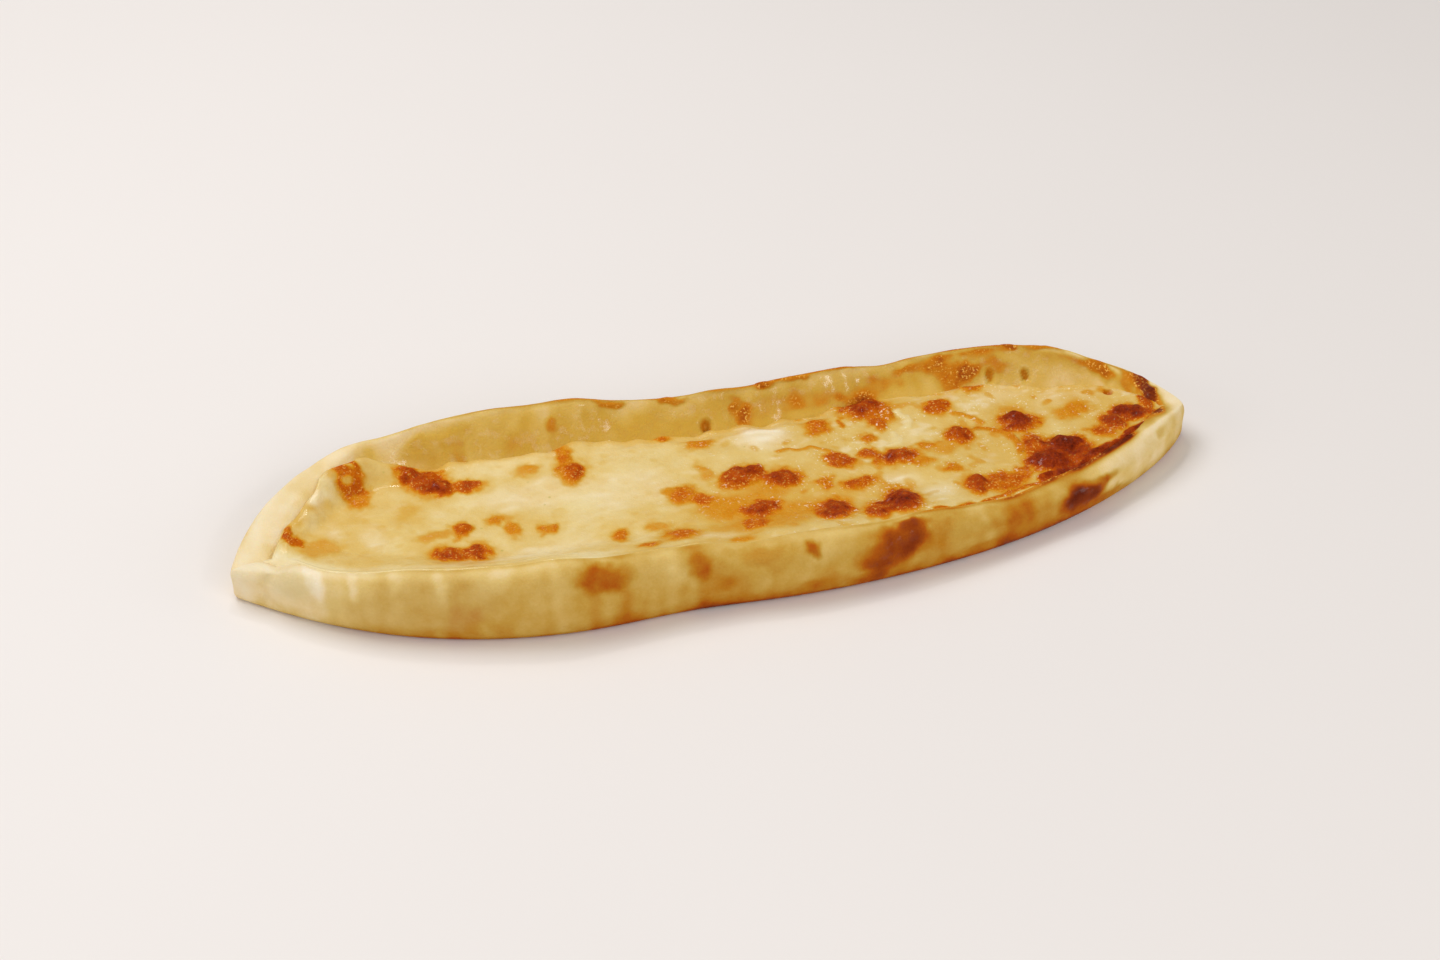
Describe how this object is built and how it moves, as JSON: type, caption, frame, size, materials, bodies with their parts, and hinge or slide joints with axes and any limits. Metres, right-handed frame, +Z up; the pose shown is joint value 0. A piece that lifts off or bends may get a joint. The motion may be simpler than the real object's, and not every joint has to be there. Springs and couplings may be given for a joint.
{
  "type": "labneh pie",
  "caption": "Long boat-shaped bread pie, open on top: a raised rim of baked dough round a filling of labneh and melted, browned and blistered cheese.",
  "frame": {"origin": "middle of the pie's outline on its flat base", "axes": "+X along the boat, +Y across it towards its higher back rim, +Z up"},
  "size_m": [0.32, 0.0972, 0.025],
  "materials": {
    "baked_dough": "soft golden crust, paler at both ends, scorched in places",
    "browned_cheese": "moist cream and gold cheese with dark brown blisters"
  },
  "bodies": {
    "root": {"dough_boat": "baked_dough", "labneh_cheese_filling": "browned_cheese"}
  },
  "joints": []
}
